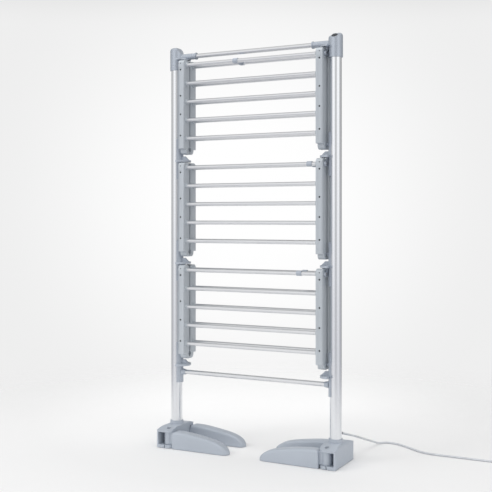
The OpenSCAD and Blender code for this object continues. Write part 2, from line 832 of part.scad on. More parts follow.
module plug() {
    cord_z = coil_start[2] + coil_rise;
    color(cord_grey) plug_frame() {
        translate([0, 0, cord_z]) rod_y(0, plug_tail_l + plug_r, plug_tail_d);
        hull() {
            for (way = [-1, 1]) {
                translate([way * (plug_w / 2 - plug_r), plug_tail_l + plug_r, plug_lift])
                    cylinder(h = plug_h, r = plug_r, $fn = hull_fn);
                translate([way * (plug_w / 3 - plug_r), plug_tail_l + plug_l - plug_r, plug_lift])
                    cylinder(h = plug_h, r = plug_r, $fn = hull_fn);
            }
        }
    }
}

// Two flat line pins and the longer earth pin
module plug_pins() {
    top_z = plug_lift + plug_h;
    color(pin_brass) plug_frame() {
        for (way = [-1, 1])
            translate([way * pin_half_gap - line_pin[1] / 2, line_pin_y + plug_tail_l / 2, top_z])
                cube([line_pin[1], line_pin[0], line_pin[2]]);
        translate([-earth_pin[0] / 2, earth_pin_y + plug_tail_l / 2, top_z]) cube(earth_pin);
    }
}

echo(cord_total = sum_of([for (p = [run_path, coil_path], i = [0:len(p) - 2])
    norm(p[i + 1] - p[i])]));
echo(coil_self_gap = coil_gap());

post(-1);  // left_post
post(1);  // right_post
cap(-1);  // left_cap
cap(1);  // right_cap
power_button();
top_bar();
bottom_bar();
bracket(1, -1);  // left_upper_bracket
bracket(1, 1);  // right_upper_bracket
bracket(2, -1);  // left_lower_bracket
bracket(2, 1);  // right_lower_bracket
bracket(3, -1);  // left_base_bracket
bracket(3, 1);  // right_base_bracket
hinge_pins();
rail(0, -1, -1);  // top_front_left_rail
rail(0, -1, 1);  // top_front_right_rail
covers(0, -1);  // top_front_covers
rungs(0, -1);  // top_front_rungs
heaters(0, -1);  // top_front_heaters
rail(0, 1, -1);  // top_rear_left_rail
rail(0, 1, 1);  // top_rear_right_rail
covers(0, 1);  // top_rear_covers
rungs(0, 1);  // top_rear_rungs
heaters(0, 1);  // top_rear_heaters
rail(1, -1, -1);  // middle_front_left_rail
rail(1, -1, 1);  // middle_front_right_rail
covers(1, -1);  // middle_front_covers
rungs(1, -1);  // middle_front_rungs
heaters(1, -1);  // middle_front_heaters
rail(1, 1, -1);  // middle_rear_left_rail
rail(1, 1, 1);  // middle_rear_right_rail
covers(1, 1);  // middle_rear_covers
rungs(1, 1);  // middle_rear_rungs
heaters(1, 1);  // middle_rear_heaters
rail(2, -1, -1);  // lower_front_left_rail
rail(2, -1, 1);  // lower_front_right_rail
covers(2, -1);  // lower_front_covers
rungs(2, -1);  // lower_front_rungs
heaters(2, -1);  // lower_front_heaters
rail(2, 1, -1);  // lower_rear_left_rail
rail(2, 1, 1);  // lower_rear_right_rail
covers(2, 1);  // lower_rear_covers
rungs(2, 1);  // lower_rear_rungs
heaters(2, 1);  // lower_rear_heaters
tie_clip(0);  // top_tie_clip
tie_clip(1);  // middle_tie_clip
tie_clip(2);  // lower_tie_clip
hub(-1);  // left_hub
hub(1);  // right_hub
leg_pins();
hub_pads();
leg(-1, -1);  // left_front_leg
leg(-1, 1);  // left_rear_leg
leg(1, -1);  // right_front_leg
leg(1, 1);  // right_rear_leg
strain_relief();
cord_run();
cord_coil();
plug();
plug_pins();
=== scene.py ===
"""Finished look of a heated clothes airer: posts, hanging rung wings, folding legs, cord and plug."""

import json
import math

import bmesh
import bpy
from mathutils import Matrix, Vector

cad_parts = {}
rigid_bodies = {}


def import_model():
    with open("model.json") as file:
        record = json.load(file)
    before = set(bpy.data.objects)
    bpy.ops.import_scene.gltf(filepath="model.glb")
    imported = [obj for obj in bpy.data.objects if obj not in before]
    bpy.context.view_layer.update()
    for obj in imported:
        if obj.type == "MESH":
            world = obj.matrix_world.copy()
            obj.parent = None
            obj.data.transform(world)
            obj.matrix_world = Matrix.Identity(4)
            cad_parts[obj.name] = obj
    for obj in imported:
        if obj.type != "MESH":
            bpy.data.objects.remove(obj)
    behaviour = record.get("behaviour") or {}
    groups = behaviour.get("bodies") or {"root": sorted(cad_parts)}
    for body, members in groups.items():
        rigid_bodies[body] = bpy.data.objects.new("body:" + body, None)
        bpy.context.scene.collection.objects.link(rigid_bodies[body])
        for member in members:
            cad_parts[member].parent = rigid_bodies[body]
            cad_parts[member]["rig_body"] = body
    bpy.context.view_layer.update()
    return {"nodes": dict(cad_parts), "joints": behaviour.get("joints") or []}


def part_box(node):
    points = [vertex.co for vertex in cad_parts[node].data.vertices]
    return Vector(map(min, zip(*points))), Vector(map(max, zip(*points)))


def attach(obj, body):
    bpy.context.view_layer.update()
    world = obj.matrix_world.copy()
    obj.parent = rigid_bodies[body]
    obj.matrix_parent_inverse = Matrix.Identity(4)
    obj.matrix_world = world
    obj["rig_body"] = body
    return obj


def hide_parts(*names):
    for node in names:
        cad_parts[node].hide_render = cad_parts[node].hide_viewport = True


bl_info = {
    "name": "Heated Clothes Airer",
    "version": (1, 0, 0),
    "blender": (4, 5, 0),
    "location": "3D View > Sidebar > Airer",
    "description": "Builds the finished look of a heated clothes airer around its frame",
    "category": "Object",
}

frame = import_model()

TIERS = ("top", "middle", "lower")
FACES = (("front", -1), ("rear", 1))
SIDES = (("left", -1), ("right", 1))

# Sizes that the frame gives
POST_LOW, POST_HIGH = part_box("right_post")
POST_X = (POST_LOW.x + POST_HIGH.x) / 2
POST_RADIUS = (POST_HIGH.x - POST_LOW.x) / 2
RAIL_LOW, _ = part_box("top_front_right_rail")
LEG_LOW, LEG_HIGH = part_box("right_front_leg")
BUTTON_LOW, BUTTON_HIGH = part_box("power_button")
RUNG_LOW, RUNG_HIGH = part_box("top_front_rungs")
RUNG_RADIUS = (RUNG_HIGH.y - RUNG_LOW.y) / 2
RUNG_PITCH = (RUNG_HIGH.z - RUNG_LOW.z - 2 * RUNG_RADIUS) / 4
HINGES = {joint["name"]: Vector(joint["pos_m"]) for joint in frame["joints"]
          if joint["type"] == "hinge"}
PIVOT_Z = {tier: HINGES[tier + "_front_wing_hinge"].z for tier in TIERS}
LEG_PIVOT = HINGES["right_front_leg_hinge"]


class AirerFinish(bpy.types.PropertyGroup):
    """Colours and surfaces of the airer."""

    moulding: bpy.props.FloatVectorProperty(
        name="Moulding", description="Colour of the hubs, legs and brackets",
        subtype="COLOR", size=3, min=0, max=1, default=(0.470, 0.513, 0.575))
    rail: bpy.props.FloatVectorProperty(
        name="Rail", description="Colour of the rails, their strips and the caps",
        subtype="COLOR", size=3, min=0, max=1, default=(0.535, 0.575, 0.612))
    tube: bpy.props.FloatVectorProperty(
        name="Post", description="Colour of the posts",
        subtype="COLOR", size=3, min=0, max=1, default=(0.82, 0.835, 0.86))
    rung: bpy.props.FloatVectorProperty(
        name="Rung", description="Colour of the rungs and bars",
        subtype="COLOR", size=3, min=0, max=1, default=(0.78, 0.79, 0.805))
    dark: bpy.props.FloatVectorProperty(
        name="Dark parts", description="Colour of the button and the pads",
        subtype="COLOR", size=3, min=0, max=1, default=(0.035, 0.038, 0.045))
    cord: bpy.props.FloatVectorProperty(
        name="Cord", description="Colour of the mains cord and the plug",
        subtype="COLOR", size=3, min=0, max=1, default=(0.60, 0.62, 0.65))
    moulding_roughness: bpy.props.FloatProperty(
        name="Moulding roughness", description="How matt the mouldings are",
        subtype="FACTOR", min=0, max=1, default=0.42)
    tube_roughness: bpy.props.FloatProperty(
        name="Tube roughness", description="How matt the aluminium tubes are",
        subtype="FACTOR", min=0, max=1, default=0.2)


class AirerDetails(bpy.types.PropertyGroup):
    """Sizes of the small parts."""

    screw_diameter: bpy.props.FloatProperty(
        name="Screw head", description="Diameter of the small screw heads",
        subtype="DISTANCE", unit="LENGTH", min=0.002, max=0.006, default=0.006)
    screw_height: bpy.props.FloatProperty(
        name="Screw head height", description="Height of the small screw heads",
        subtype="DISTANCE", unit="LENGTH", min=0.0005, max=0.002, default=0.0009)
    cord_diameter: bpy.props.FloatProperty(
        name="Cord", description="Diameter of the mains cord",
        subtype="DISTANCE", unit="LENGTH", min=0.005, max=0.009, default=0.007)
    relief_ribs: bpy.props.IntProperty(
        name="Relief ribs", description="Ribs on the strain relief", min=3, max=12, default=6)
    leg_corner: bpy.props.FloatProperty(
        name="Leg corner", description="Radius of a leg's upper edges",
        subtype="DISTANCE", unit="LENGTH", min=0.004, max=0.016, default=0.0095)
    edge_round: bpy.props.FloatProperty(
        name="Edge round", description="Radius of the edges of the moulded shells",
        subtype="DISTANCE", unit="LENGTH", min=0.0002, max=0.002, default=0.0008)


class AirerStage(bpy.types.PropertyGroup):
    """Camera, floor and light."""

    lens: bpy.props.FloatProperty(
        name="Lens", description="Focal length of the camera in millimetres",
        min=20, max=200, default=66.22)
    camera_place: bpy.props.FloatVectorProperty(
        name="Camera", description="Where the camera stands",
        subtype="TRANSLATION", unit="LENGTH", size=3, default=(1.423, -2.839, 0.8265))
    camera_turn: bpy.props.FloatProperty(
        name="Camera turn", description="Angle of the camera about the vertical",
        subtype="ANGLE", unit="ROTATION", default=math.radians(27.05))
    camera_shift: bpy.props.FloatProperty(
        name="Camera shift", description="Vertical shift of the picture", default=-0.058)
    floor_radius: bpy.props.FloatProperty(
        name="Floor radius", description="Radius of the floor that is seen",
        subtype="DISTANCE", unit="LENGTH", min=1, max=6, default=2.2)
    key_power: bpy.props.FloatProperty(
        name="Key lamp", description="Power of the large lamp at the front left",
        subtype="POWER", unit="POWER", min=0, default=26)
    top_power: bpy.props.FloatProperty(
        name="Top lamp", description="Power of the wide lamp above the object",
        subtype="POWER", unit="POWER", min=0, default=56)


def new_object(name, mesh):
    """An object in the scene, with its data."""
    made = bpy.data.objects.new(name, mesh)
    bpy.context.scene.collection.objects.link(made)
    return made


def object_from_bmesh(name, bm, smooth_angle=None):
    """Turns a bmesh into an object, smooth where faces meet at less than the angle in degrees."""
    mesh = bpy.data.meshes.new(name)
    bmesh.ops.recalc_face_normals(bm, faces=bm.faces)
    bm.to_mesh(mesh)
    bm.free()
    if smooth_angle is not None:
        mesh.shade_smooth()
        mesh.set_sharp_from_angle(angle=math.radians(smooth_angle))
    return new_object(name, mesh)


def plain_mesh(made):
    """Applies what is on an object, and leaves it as a plain mesh."""
    bpy.context.view_layer.update()
    graph = bpy.context.evaluated_depsgraph_get()
    mesh = bpy.data.meshes.new_from_object(made.evaluated_get(graph))
    made.modifiers.clear()
    made.data = mesh
    return made


def ring_faces(bm, rings, closed=True):
    """Joins rings of corners, each with the same count, and closes the first and the last."""
    for a, b in zip(rings, rings[1:]):
        for i in range(len(a)):
            j = (i + 1) % len(a)
            bm.faces.new((a[i], a[j], b[j], b[i]))
    if closed:
        bm.faces.new(rings[0][::-1])
        bm.faces.new(rings[-1])


def turned_rings(bm, profile, place, segments):
    """Rings of corners where a profile of (radius, height) turns round Z, put in their place."""
    rings = []
    for radius, height in profile:
        ring = []
        for k in range(segments):
            a = math.tau * k / segments
            ring.append(bm.verts.new(place @ Vector((radius * math.cos(a), radius * math.sin(a),
                                                     height))))
        rings.append(ring)
    return rings


def lathe(bm, profile, place, segments=40):
    """Turns a profile of (radius, height) round Z, closed at both ends."""
    ring_faces(bm, turned_rings(bm, profile, place, segments))


def smooth_value(table, where):
    """Value at a place on the smooth curve through a table of (place, value)."""
    i = max(k for k in range(len(table) - 1) if where >= table[k][0] or k == 0)
    (a, low), (b, high) = table[i], table[i + 1]
    before, after = table[max(i - 1, 0)], table[min(i + 2, len(table) - 1)]
    share = min(max((where - a) / (b - a), 0), 1)
    left = (high - before[1]) / (b - before[0]) * (b - a)
    right = (after[1] - low) / (after[0] - a) * (b - a)
    return ((2 * share ** 3 - 3 * share ** 2 + 1) * low + (share ** 3 - 2 * share ** 2 + share) * left
            + (3 * share ** 2 - 2 * share ** 3) * high + (share ** 3 - share ** 2) * right)


def dress(made, body, slot, finish, *nodes):
    """Gives a piece its material and body, and lets it stand for the frame's nodes."""
    if not made.data.materials:
        made.data.materials.append(materials()[finish])
    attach(made, body)
    if nodes:
        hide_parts(*nodes)
    return made


def add_node(tree, kind, **values):
    """A node with its settings, and with its sockets' values where the name is a socket's."""
    made = tree.nodes.new(kind)
    for name, value in values.items():
        if name.startswith("in_"):
            key = name[3:]
            socket = made.inputs[int(key)] if key.isdigit() else made.inputs[key.replace("_", " ")]
            socket.default_value = value
        else:
            setattr(made, name, value)
    return made


def blank_material(name):
    """A node material with its shader, and the object's coordinates scaled by a mapping."""
    material = bpy.data.materials.new(name)
    material.use_nodes = True
    tree = material.node_tree
    tree.nodes.clear()
    out = add_node(tree, "ShaderNodeOutputMaterial")
    shader = add_node(tree, "ShaderNodeBsdfPrincipled")
    tree.links.new(shader.outputs["BSDF"], out.inputs["Surface"])
    place = add_node(tree, "ShaderNodeTexCoord")
    return material, tree, shader, place.outputs["Object"]


def noise(tree, place, scale, detail=2.0, stretch=(1, 1, 1)):
    """Noise on the object's coordinates, drawn out along an axis by the stretch."""
    mapping = add_node(tree, "ShaderNodeMapping", in_Scale=stretch)
    tree.links.new(place, mapping.inputs["Vector"])
    made = add_node(tree, "ShaderNodeTexNoise", in_Scale=scale, in_Detail=detail)
    tree.links.new(mapping.outputs["Vector"], made.inputs["Vector"])
    return made.outputs["Fac"]


def span(tree, value, low, high, from_low=0.3, from_high=0.7):
    """Maps a value from one range to another, and holds it there."""
    made = add_node(tree, "ShaderNodeMapRange", in_1=from_low, in_2=from_high, in_3=low, in_4=high)
    tree.links.new(value, made.inputs[0])
    return made.outputs[0]


def shades(tree, value, colour, low, high):
    """The colour from a darker to a lighter shade, by the value."""
    made = add_node(tree, "ShaderNodeMix", data_type="RGBA")
    made.inputs["A"].default_value = tuple(c * low for c in colour) + (1,)
    made.inputs["B"].default_value = tuple(min(1, c * high) for c in colour) + (1,)
    tree.links.new(value, made.inputs["Factor"])
    return made.outputs["Result"]


def bump(tree, height, shader, strength, distance):
    """Lets a height raise the surface of a shader."""
    made = add_node(tree, "ShaderNodeBump", in_Strength=strength, in_Distance=distance)
    tree.links.new(height, made.inputs["Height"])
    tree.links.new(made.outputs["Normal"], shader.inputs["Normal"])


def moulded_plastic(name, colour, roughness, grain=0.05, sheen=0.0):
    """Matt moulded plastic with a fine grain, and a metallic sheen where it is lacquered."""
    material, tree, shader, place = blank_material(name)
    tone = span(tree, noise(tree, place, 7.0, 3.0), 0.0, 1.0)
    tree.links.new(shades(tree, tone, colour, 0.975, 1.025), shader.inputs["Base Color"])
    fine = noise(tree, place, 900.0, 2.0)
    tree.links.new(span(tree, noise(tree, place, 60.0), roughness - 0.04, roughness + 0.05),
                   shader.inputs["Roughness"])
    shader.inputs["IOR"].default_value = 1.48
    shader.inputs["Specular IOR Level"].default_value = 0.42
    shader.inputs["Metallic"].default_value = sheen
    bump(tree, fine, shader, grain, 0.0004)
    return material


def drawn_aluminium(name, colour, roughness, along):
    """Bright anodised tube, with fine drawn lines along one axis."""
    material, tree, shader, place = blank_material(name)
    stretch = tuple(0.004 if i == along else 1.0 for i in range(3))
    lines = noise(tree, place, 700.0, 3.0, stretch)
    tone = span(tree, noise(tree, place, 5.0, 2.0, stretch), 0.0, 1.0)
    tree.links.new(shades(tree, tone, colour, 0.965, 1.02), shader.inputs["Base Color"])
    tree.links.new(span(tree, lines, roughness - 0.05, roughness + 0.07),
                   shader.inputs["Roughness"])
    shader.inputs["Metallic"].default_value = 1.0
    bump(tree, lines, shader, 0.06, 0.0002)
    return material


def plain_steel(name, colour, roughness):
    """Steel or brass with a faint unevenness."""
    material, tree, shader, place = blank_material(name)
    cloud = noise(tree, place, 300.0, 3.0)
    tree.links.new(shades(tree, cloud, colour, 0.8, 1.1), shader.inputs["Base Color"])
    tree.links.new(span(tree, cloud, roughness - 0.06, roughness + 0.1), shader.inputs["Roughness"])
    shader.inputs["Metallic"].default_value = 1.0
    bump(tree, cloud, shader, 0.08, 0.0002)
    return material


def soft_rubber(name, colour, roughness):
    """Rubber or soft sheath with a fine grain."""
    material, tree, shader, place = blank_material(name)
    cloud = noise(tree, place, 40.0, 3.0)
    tree.links.new(shades(tree, span(tree, cloud, 0.0, 1.0), colour, 0.9, 1.08),
                   shader.inputs["Base Color"])
    grain = noise(tree, place, 1200.0, 2.0)
    tree.links.new(span(tree, grain, roughness - 0.05, roughness + 0.08),
                   shader.inputs["Roughness"])
    bump(tree, grain, shader, 0.12, 0.0002)
    return material


# Colours of the pieces that no setting changes
PIN_STEEL = (0.5, 0.51, 0.53)
SCREW_STEEL = (0.018, 0.019, 0.022)
WIRE_SLEEVE = (0.75, 0.74, 0.68)
PIN_BRASS = (0.74, 0.58, 0.29)

MATERIALS = {}


def materials():
    """Every material of the airer, made once."""
    if MATERIALS:
        return MATERIALS
    finish = bpy.context.scene.airer_finish
    rough = finish.moulding_roughness
    tube = tuple(finish.tube)
    dark = tuple(finish.dark)
    MATERIALS.update(
        moulding=moulded_plastic("blue_grey_moulding", tuple(finish.moulding), rough, 0.05, 0.2),
        rail=moulded_plastic("rail_moulding", tuple(finish.rail), rough, 0.05, 0.2),
        cap=moulded_plastic("cap_lacquer", tuple(finish.moulding), 0.24, 0.015, 0.5),
        cover=moulded_plastic("cover_strip", tuple(finish.rail), rough - 0.03, 0.03, 0.2),
        post=drawn_aluminium("post_aluminium", tube, finish.tube_roughness, 2),
        rung=drawn_aluminium("rung_aluminium", tuple(finish.rung),
                             finish.tube_roughness + 0.1, 0),
        button=moulded_plastic("button_dark", dark, 0.35, 0.03),
        pad=soft_rubber("pad_rubber", dark, 0.7),
        pin=plain_steel("pin_steel", PIN_STEEL, 0.35),
        screw=plain_steel("screw_steel", SCREW_STEEL, 0.5),
        wire=soft_rubber("wire_sleeve", WIRE_SLEEVE, 0.5),
        cord=soft_rubber("cord_sheath", tuple(finish.cord), 0.45),
        relief=soft_rubber("relief_rubber", tuple(c * 0.7 for c in finish.cord), 0.55),
        plug=moulded_plastic("plug_moulding", tuple(finish.cord), 0.4, 0.03),
        brass=plain_steel("pin_brass", PIN_BRASS, 0.28),
    )
    return MATERIALS


class AIRER_OT_camera(bpy.types.Operator):
    """Places the camera where the photograph was taken"""

    bl_idname = "airer.camera"
    bl_label = "Camera"

    def execute(self, context):
        stage = context.scene.airer_stage
        data = bpy.data.cameras.new("camera")
        data.lens = stage.lens
        data.sensor_width = 36
        data.shift_y = stage.camera_shift
        data.clip_start = 0.05
        camera = new_object("camera", data)
        camera.location = stage.camera_place
        camera.rotation_euler = (math.pi / 2, 0, stage.camera_turn)
        context.scene.camera = camera
        context.view_layer.update()
        return {"FINISHED"}


# The strain relief and the cord's route, as in the part's source, in metres
RELIEF_LENGTH = 0.030
RELIEF_SEAT = 0.0015
RELIEF_GAP = 0.0003
RELIEF_HEIGHT = 0.1045
RELIEF_TURN = math.radians(10)
RELIEF_DIP = math.radians(19.5)
RELIEF_BASE = Vector((POST_X, POST_RADIUS - RELIEF_SEAT, RELIEF_HEIGHT))
RELIEF_WAY = Vector((math.sin(RELIEF_TURN) * math.cos(RELIEF_DIP),
                     math.cos(RELIEF_TURN) * math.cos(RELIEF_DIP), -math.sin(RELIEF_DIP)))
CORD_STRAIGHT = 0.014
CORD_POINTS = [
    (0.017, 0.1, 0.0775), (0.023, 0.145, 0.063), (0.028, 0.19, 0.0475), (0.033, 0.235, 0.032),
    (0.038, 0.28, 0.017), (0.042, 0.304, 0.0085), (0.048, 0.324, 0.0043), (0.058, 0.337, 0.0037),
    (0.074, 0.343, 0.0037), (0.092, 0.342, 0.0037), (0.111, 0.336, 0.0037),
    (0.132, 0.325, 0.0037), (0.153, 0.311, 0.0037), (0.174, 0.296, 0.0037),
    (0.197, 0.28, 0.0037), (0.22, 0.267, 0.0037), (0.249, 0.259, 0.0037), (0.289, 0.256, 0.0037),
    (0.339, 0.256, 0.0037), (0.399, 0.256, 0.0037), (0.459, 0.256, 0.0037),
    (0.499, 0.256, 0.0037), (0.511, 0.256, 0.0037),
]
COIL_IN_RADIUS = 0.030
COIL_STEP = 0.0086
COIL_RISE = 0.008
COIL_IN_TURNS = 1.75
COIL_LIFT_TURNS = 0.5
COIL_OUT_TURNS = 2.0
COIL_LEAD = 0.008
COIL_OUT_LEAD = 0.040
COIL_TURNS = COIL_IN_TURNS + COIL_LIFT_TURNS + COIL_OUT_TURNS


def curve_point(points, i, t):
    """Point on the smooth curve through the route, between its points i and i + 1."""
    a, b = points[max(i - 1, 0)], points[i]
    c, d = points[i + 1], points[min(i + 2, len(points) - 1)]
    return (b + (c - a) * (t / 2) + (2 * a - 5 * b + 4 * c - d) * (t * t / 2)
            + (3 * b - a - 3 * c + d) * (t * t * t / 2))


def coil_point(centre, t):
    """Point on the coil after a number of turns: inwards below, over half a turn, outwards above."""
    if t < COIL_IN_TURNS:
        radius = COIL_IN_RADIUS + (COIL_IN_TURNS - t) * COIL_STEP
    elif t < COIL_IN_TURNS + COIL_LIFT_TURNS:
        radius = COIL_IN_RADIUS
    else:
        radius = COIL_IN_RADIUS + (t - COIL_IN_TURNS - COIL_LIFT_TURNS) * COIL_STEP
    lift = COIL_RISE * min(max((t - COIL_IN_TURNS) / COIL_LIFT_TURNS, 0), 1)
    angle = math.tau * t - math.pi / 2
    return centre + Vector((radius * math.cos(angle), radius * math.sin(angle), lift))


def cord_path(steps=4, rings=48):
    """The whole centreline of the cord, from the strain relief to the plug."""
    route = [RELIEF_BASE + RELIEF_WAY * (RELIEF_LENGTH + reach)
             for reach in (RELIEF_GAP, CORD_STRAIGHT)]
    route += [Vector(p) + Vector((POST_X, 0, 0)) for p in CORD_POINTS]
    path = [curve_point(route, i, s / steps) for i in range(len(route) - 1) for s in range(steps)]
    start = route[-1]
    path.append(start)
    out_radius = COIL_IN_RADIUS + COIL_IN_TURNS * COIL_STEP
    centre = start + Vector((COIL_LEAD, out_radius, 0))
    path += [coil_point(centre, i / rings) for i in range(round(COIL_TURNS * rings) + 1)]
    angle = math.tau * COIL_TURNS
    way = Vector((math.cos(angle), math.sin(angle), 0))
    path.append(path[-1] + way * COIL_OUT_LEAD)
    return path, way


class AIRER_OT_cord(bpy.types.Operator):
    """Lays the mains cord from the right post to its plug"""

    bl_idname = "airer.cord"
    bl_label = "Cord"

    def execute(self, context):
        details = context.scene.airer_details
        path, _ = cord_path()
        data = bpy.data.curves.new("mains_cord", "CURVE")
        data.dimensions = "3D"
        data.bevel_depth = details.cord_diameter / 2
        data.bevel_resolution = 4
        data.use_fill_caps = True
        spline = data.splines.new("POLY")
        spline.points.add(len(path) - 1)
        for point, place in zip(spline.points, path):
            point.co = (*place, 1)
        spline.use_smooth = True
        cord = dress(new_object("mains_cord", data), "frame", "cord", "cord",
                     "cord_run", "cord_coil")
        return {"FINISHED"}


def plug_place():
    """Where the plug sits: its origin under the cord's end, with Y along the cord."""
    path, way = cord_path()
    end = path[-1]
    turn = math.atan2(way.y, way.x) - math.pi / 2
    return Matrix.Translation((end.x, end.y, 0)) @ Matrix.Rotation(turn, 4, "Z"), end.z


def rounded_prism(bm, outline, low, high, edge, steps=4):
    """A prism on an outline of corner points, with its upper and lower edges rounded."""
    centre = Vector([sum(values) / len(outline) for values in zip(*outline)])
    levels = []
    for k in range(steps + 1):
        a = math.pi / 2 * k / steps
        levels.append((edge * (1 - math.sin(a)), low + edge * (1 - math.cos(a))))
    levels += [(inset, low + high - z) for inset, z in reversed(levels)]
    rings = []
    for inset, z in levels:
        ring = []
        for corner in outline:
            reach = Vector(corner) - centre
            reach *= max(0.0, 1 - inset / max(reach.length, 1e-6))
            ring.append(bm.verts.new((*(centre + reach), z)))
        rings.append(ring)
    ring_faces(bm, rings)


def hull_outline(circles, steps=12):
    """Outline round a set of circles (x, y, radius), anticlockwise."""
    points = []
    for x, y, r in circles:
        for k in range(steps * 4):
            a = math.tau * k / (steps * 4)
            points.append((x + r * math.cos(a), y + r * math.sin(a)))
    points = sorted(set(points))

    def half(source):
        chain = []
        for p in source:
            while len(chain) > 1 and ((chain[-1][0] - chain[-2][0]) * (p[1] - chain[-2][1])
                                      - (chain[-1][1] - chain[-2][1]) * (p[0] - chain[-2][0])) <= 0:
                chain.pop()
            chain.append(p)
        return chain

    return half(points)[:-1] + half(points[::-1])[:-1]


# The plug, in metres: X across it, Y along the cord, Z up. Outlines run round circles
# (x, y, radius). A sleeve step is (start, end, radius at the start, radius at the end), and a
# pin is (x, y, width, thickness, how far it stands out).
PLUG_CIRCLES = ((-0.016, 0.023, 0.009), (0.016, 0.023, 0.009),
                (-0.0077, 0.051, 0.009), (0.0077, 0.051, 0.009))
PLUG_LOW = 0.0002
PLUG_TOP = 0.0202
PLUG_EDGE = 0.0025
FOOT_CIRCLES = ((-0.0115, 0.0245, 0.005), (0.0115, 0.0245, 0.005),
                (-0.004, 0.0475, 0.005), (0.004, 0.0475, 0.005))
FOOT_LOW = 0.019
FOOT_EDGE = 0.0006
SLEEVE_STEPS = ((0.0005, 0.004, 0.0046, 0.005), (0.004, 0.009, 0.005, 0.0056),
                (0.009, 0.0165, 0.0056, 0.006))
SLEEVE_RIBS = 4
SLEEVE_RIB_START = 0.0028
SLEEVE_RIB_PITCH = 0.003
SLEEVE_RIB_WIDTH = 0.0011
SLEEVE_RIB_RADIUS = 0.0061
CONTACTS = ((-0.0111, 0.025, 0.0063, 0.004, 0.0177), (0.0111, 0.025, 0.0063, 0.004, 0.0177),
            (0.0, 0.0492, 0.004, 0.008, 0.0227))
CONTACT_LOW = 0.0198
CONTACT_EDGE = 0.0008


def sleeve_ring(bm, middle, width, start_radius, end_radius, height):
    """One ring of the plug's sleeve, round the cord."""
    made = bmesh.ops.create_cone(bm, cap_ends=True, segments=32, radius1=start_radius,
                                 radius2=end_radius, depth=width)
    turn = Matrix.Translation((0, middle, height)) @ Matrix.Rotation(-math.pi / 2, 4, "X")
    bmesh.ops.transform(bm, matrix=turn, verts=made["verts"])


class AIRER_OT_plug(bpy.types.Operator):
    """Makes the flat three-pin plug that lies at the end of the cord"""

    bl_idname = "airer.plug"
    bl_label = "Plug"

    def execute(self, context):
        place, cord_z = plug_place()
        bm = bmesh.new()
        rounded_prism(bm, hull_outline(PLUG_CIRCLES), PLUG_LOW, PLUG_TOP, PLUG_EDGE)
        rounded_prism(bm, hull_outline(FOOT_CIRCLES), FOOT_LOW, PLUG_TOP, FOOT_EDGE)
        for start, end, start_radius, end_radius in SLEEVE_STEPS:
            sleeve_ring(bm, (start + end) / 2, end - start, start_radius, end_radius, cord_z)
        for k in range(SLEEVE_RIBS):
            sleeve_ring(bm, SLEEVE_RIB_START + SLEEVE_RIB_PITCH * k, SLEEVE_RIB_WIDTH,
                        SLEEVE_RIB_RADIUS, SLEEVE_RIB_RADIUS, cord_z)
        bmesh.ops.transform(bm, matrix=place, verts=bm.verts)
        dress(object_from_bmesh("plug_body", bm, 40), "frame", "cord", "plug", "plug")

        bm = bmesh.new()
        for x, y, wide, thick, tall in CONTACTS:
            outline = [(x + across * wide / 2, y + along * thick / 2)
                       for across, along in ((-1, -1), (1, -1), (1, 1), (-1, 1))]
            rounded_prism(bm, outline, CONTACT_LOW, PLUG_TOP + tall, CONTACT_EDGE)
        bmesh.ops.transform(bm, matrix=place, verts=bm.verts)
        dress(object_from_bmesh("plug_contacts", bm, 40), "frame", "contact", "brass",
              "plug_pins")
        return {"FINISHED"}


# Profile of the strain relief, in metres: its foot as (radius, height), one rib as (how far
# below the rib's radius, share of the pitch, height added), and its tip as (radius, distance
# from the end)
RELIEF_FOOT = ((0.0040, 0.0006), (0.0072, 0.0006), (0.0072, 0.0010), (0.0063, 0.0036),
               (0.0056, 0.0042), (0.0046, 0.0046), (0.0046, 0.006))
RELIEF_RIB = ((0.0003, 0, 0), (0, 0, 0.0004), (0.0001, 0.6, -0.0003), (0.0004, 0.6, 0),
              (0.0011, 0.62, 0), (0.0011, 0.98, 0))
RELIEF_TIP = ((0.0045, 0.0014), (0.0046, 0.0011), (0.0046, 0.0003), (0.0042, 0))
RELIEF_RIB_RADIUS = 0.0058
RELIEF_RIB_TAPER = 0.0012
RELIEF_PLAIN_END = 0.0015


class AIRER_OT_relief(bpy.types.Operator):
    """Makes the ribbed sleeve where the cord leaves the right post"""

    bl_idname = "airer.relief"
    bl_label = "Strain relief"

    def execute(self, context):
        ribs = context.scene.airer_details.relief_ribs
        turn = RELIEF_WAY.to_track_quat("Z", "Y").to_matrix().to_4x4()
        place = Matrix.Translation(RELIEF_BASE) @ turn
        start = RELIEF_FOOT[-1][1]
        pitch = (RELIEF_LENGTH - RELIEF_PLAIN_END - start) / ribs
        profile = list(RELIEF_FOOT)
        for k in range(ribs):
            radius = RELIEF_RIB_RADIUS - RELIEF_RIB_TAPER * k / ribs
            profile += [(radius - sunk, start + (k + share) * pitch + added)
                        for sunk, share, added in RELIEF_RIB]
        profile += [(radius, RELIEF_LENGTH - below) for radius, below in RELIEF_TIP]
        bm = bmesh.new()
        lathe(bm, profile, place)
        dress(object_from_bmesh("cord_relief", bm, 35), "frame", "cord", "relief", "strain_relief")
        return {"FINISHED"}


